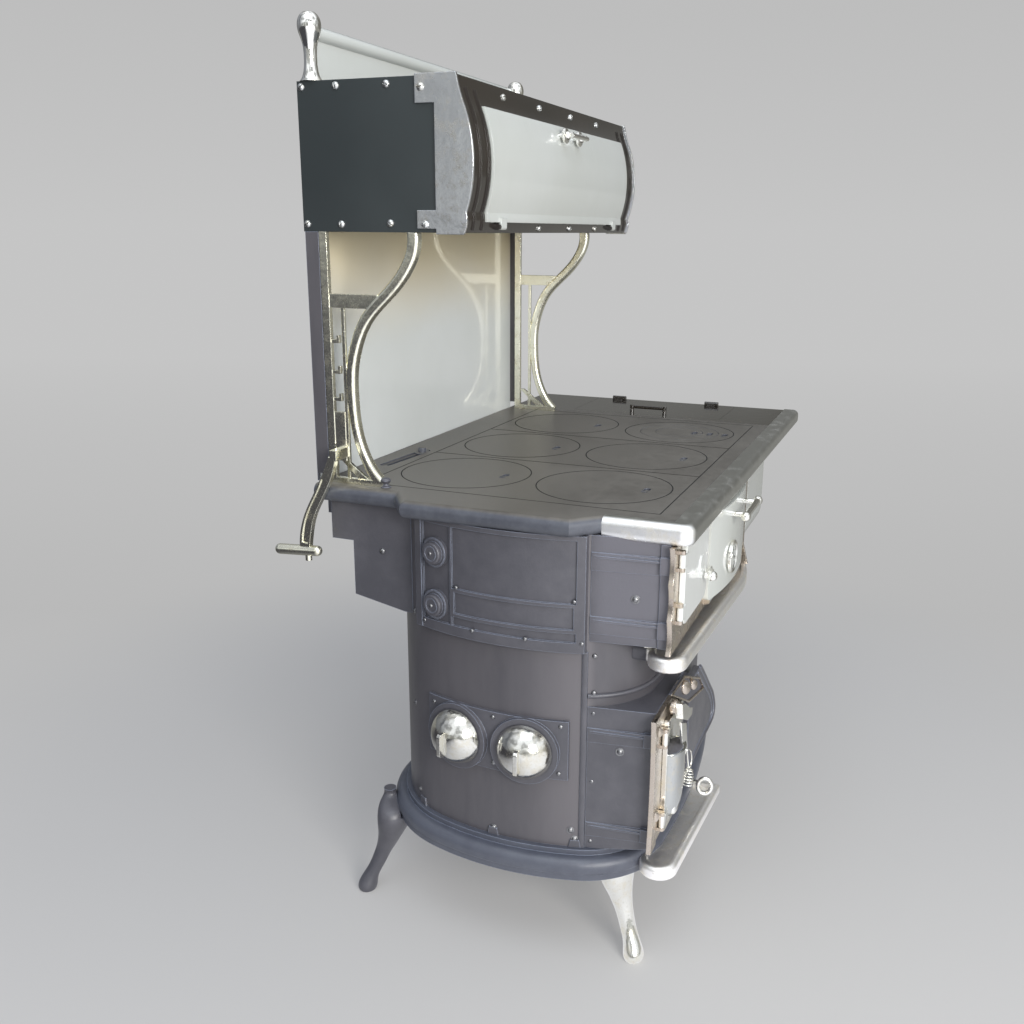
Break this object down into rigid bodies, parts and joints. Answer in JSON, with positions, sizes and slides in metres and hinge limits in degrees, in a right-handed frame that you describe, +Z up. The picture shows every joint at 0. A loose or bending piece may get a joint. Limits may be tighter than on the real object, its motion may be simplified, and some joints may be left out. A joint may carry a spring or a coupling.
{
  "type": "wood cookstove",
  "caption": "Oval-bodied wood cookstove with lift-off lids, feed, oven and ash doors, water reservoir, and a warming closet on curved brackets.",
  "frame": {"origin": "on the floor under the middle of the whole stove", "axes": "+X to the right seen from the front, +Y to the back, +Z up"},
  "size_m": [1.2306, 0.9172, 1.562],
  "materials": {
    "cast_black": "satin stove black",
    "sheet_black": "satin black sheet steel",
    "top_iron": "seasoned, smooth",
    "gloss_black": "gloss black enamel",
    "closet_dark": "semi-gloss dark enamel",
    "enamel_white": "gloss white porcelain enamel",
    "nickel": "polished nickel plate",
    "firebrick": "fired brick",
    "iron_rough": "rough cast",
    "galvanised": "galvanised",
    "dial": "nickel bezel with a pale dial"
  },
  "bodies": {
    "stove": {"base_ring": "cast_black", "body_wrap": "sheet_black", "side_panel": "cast_black", "fire_plugs": "cast_black", "draft_plate": "cast_black", "upper_front": "cast_black", "front_frame": "nickel", "ash_box": "cast_black", "ash_frame": "nickel", "upper_shelf": "nickel", "lower_shelf": "nickel", "firebox_liner": "firebrick", "grate": "iron_rough", "ash_pan": "galvanised", "oven_box": "sheet_black", "oven_rack": "nickel", "cooktop": "top_iron", "key_plate_left": "top_iron", "key_plate_middle": "top_iron", "key_plate_right": "top_iron", "cooktop_trim": "nickel", "reservoir_top": "gloss_black", "reservoir_jacket": "enamel_white", "reservoir_tank": "galvanised", "rear_casing": "cast_black", "flue_collar": "cast_black", "splash_panel": "enamel_white", "splash_back": "sheet_black", "bracket_left": "nickel", "bracket_right": "nickel", "closet_shell": "closet_dark", "closet_front": "gloss_black", "closet_corners": "nickel", "gallery": "enamel_white", "finials": "nickel", "leg_front_left": "nickel", "leg_front_right": "nickel", "leg_rear_left": "cast_black", "leg_rear_right": "cast_black"},
    "feed_door": {"feed_door": "enamel_white"},
    "feed_latch": {"feed_latch": "nickel"},
    "oven_door": {"oven_door": "enamel_white", "thermometer": "dial", "oven_handle": "nickel"},
    "ash_door": {"ash_door": "nickel"},
    "ash_latch": {"ash_latch": "nickel"},
    "closet_door": {"closet_door": "enamel_white", "closet_handle": "nickel"},
    "reservoir_lid": {"reservoir_lid": "gloss_black"},
    "damper_slide": {"damper_slide": "top_iron"},
    "draft_dome_rear": {"draft_dome_rear": "nickel"},
    "draft_dome_front": {"draft_dome_front": "nickel"},
    "shaker": {"shaker_ring": "nickel"},
    "lid_front_left": {"lid_front_left": "top_iron"},
    "lid_front_middle": {"lid_front_middle": "top_iron"},
    "lid_front_right": {"lid_front_right": "top_iron"},
    "lid_rear_left": {"lid_rear_left": "top_iron"},
    "lid_rear_middle": {"lid_rear_middle": "top_iron"},
    "lid_rear_right": {"lid_rear_right": "top_iron"}
  },
  "joints": [
    {"name": "feed_door_hinge", "type": "hinge", "parent": "stove", "child": "feed_door", "pos_m": [-0.50567, -0.40465, 0.622], "axis": [0, 0, -1], "range_deg": [0, 110]},
    {"name": "feed_latch_turn", "type": "hinge", "parent": "feed_door", "child": "feed_latch", "pos_m": [-0.34867, -0.40865, 0.67], "axis": [0, 1, 0], "range_deg": [0, 90]},
    {"name": "oven_door_hinge", "type": "hinge", "parent": "stove", "child": "oven_door", "pos_m": [-0.31267, -0.40465, 0.598], "axis": [1, 0, 0], "range_deg": [0, 90]},
    {"name": "ash_door_hinge", "type": "hinge", "parent": "stove", "child": "ash_door", "pos_m": [-0.50367, -0.38965, 0.246], "axis": [0, 0, -1], "range_deg": [0, 110]},
    {"name": "ash_latch_turn", "type": "hinge", "parent": "ash_door", "child": "ash_latch", "pos_m": [-0.40267, -0.38415, 0.432], "axis": [0, -1, 0], "range_deg": [0, 70]},
    {"name": "closet_door_hinge", "type": "hinge", "parent": "stove", "child": "closet_door", "pos_m": [-0.43067, -0.03965, 1.236], "axis": [1, 0, 0], "range_deg": [0, 95]},
    {"name": "reservoir_lid_hinge", "type": "hinge", "parent": "stove", "child": "reservoir_lid", "pos_m": [0.58533, -0.04615, 0.8055], "axis": [0, 1, 0], "range_deg": [0, 100]},
    {"name": "damper_slide_travel", "type": "slide", "parent": "stove", "child": "damper_slide", "axis": [-0.9976, 0.0698, 0], "range_m": [0, 0.12]},
    {"name": "draft_dome_rear_turn", "type": "hinge", "parent": "stove", "child": "draft_dome_rear", "pos_m": [-0.54546, -0.03515, 0.386], "axis": [-0.9797, 0.2004, 0], "continuous": true},
    {"name": "draft_dome_front_turn", "type": "hinge", "parent": "stove", "child": "draft_dome_front", "pos_m": [-0.55324, -0.16215, 0.386], "axis": [-0.9969, -0.0793, 0], "continuous": true},
    {"name": "shaker_pull", "type": "slide", "parent": "stove", "child": "shaker", "axis": [0, -1, 0], "range_m": [0, 0.04]},
    {"name": "lid_front_left_lift", "type": "slide", "parent": "stove", "child": "lid_front_left", "axis": [0, 0, 1], "range_m": [0, 0.12]},
    {"name": "lid_front_middle_lift", "type": "slide", "parent": "stove", "child": "lid_front_middle", "axis": [0, 0, 1], "range_m": [0, 0.12]},
    {"name": "lid_front_right_lift", "type": "slide", "parent": "stove", "child": "lid_front_right", "axis": [0, 0, 1], "range_m": [0, 0.12]},
    {"name": "lid_rear_left_lift", "type": "slide", "parent": "stove", "child": "lid_rear_left", "axis": [0, 0, 1], "range_m": [0, 0.12]},
    {"name": "lid_rear_middle_lift", "type": "slide", "parent": "stove", "child": "lid_rear_middle", "axis": [0, 0, 1], "range_m": [0, 0.12]},
    {"name": "lid_rear_right_lift", "type": "slide", "parent": "stove", "child": "lid_rear_right", "axis": [0, 0, 1], "range_m": [0, 0.12]}
  ]
}
